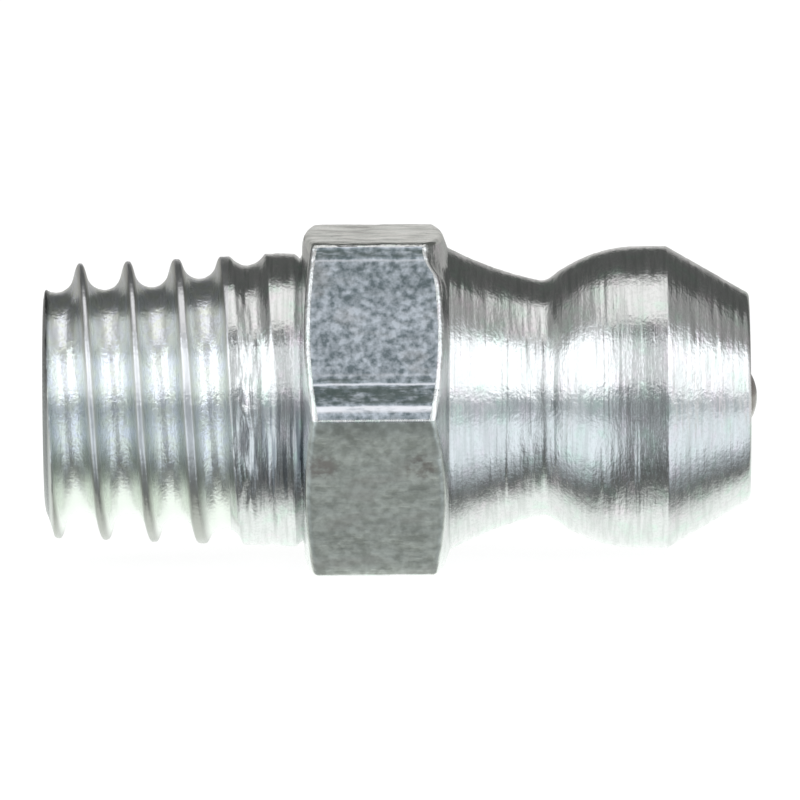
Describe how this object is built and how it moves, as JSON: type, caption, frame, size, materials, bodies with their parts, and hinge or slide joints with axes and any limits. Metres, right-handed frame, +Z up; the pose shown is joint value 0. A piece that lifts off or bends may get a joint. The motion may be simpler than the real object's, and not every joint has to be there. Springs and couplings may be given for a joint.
{
  "type": "grease nipple",
  "caption": "Straight grease nipple with a rolled taper thread, a hexagon and a hollowed neck, whose ball head holds a spring-loaded check ball in its nose.",
  "frame": {"origin": "on the turned axis, in the undercut between the thread's collar and the hexagon", "axes": "+X along the axis towards the ball head, -X the way the thread goes into its hole, +Z up from the flat of the hexagon that the nipple lies on"},
  "size_m": [0.015, 0.008, 0.007],
  "materials": {
    "plated_steel": "turned steel with a pale zinc plate",
    "ball_steel": "ground and polished steel",
    "spring_steel": "drawn spring wire"
  },
  "bodies": {
    "body": {"body": "plated_steel", "spring": "spring_steel"},
    "check_ball": {"check_ball": "ball_steel"}
  },
  "joints": [
    {"name": "ball_slide", "type": "slide", "parent": "body", "child": "check_ball", "axis": [-1, 0, 0], "range_m": [0, 0.0009], "stiffness_N_per_m": 2300, "springref_m": -0.0003, "deforming": ["spring"]}
  ]
}
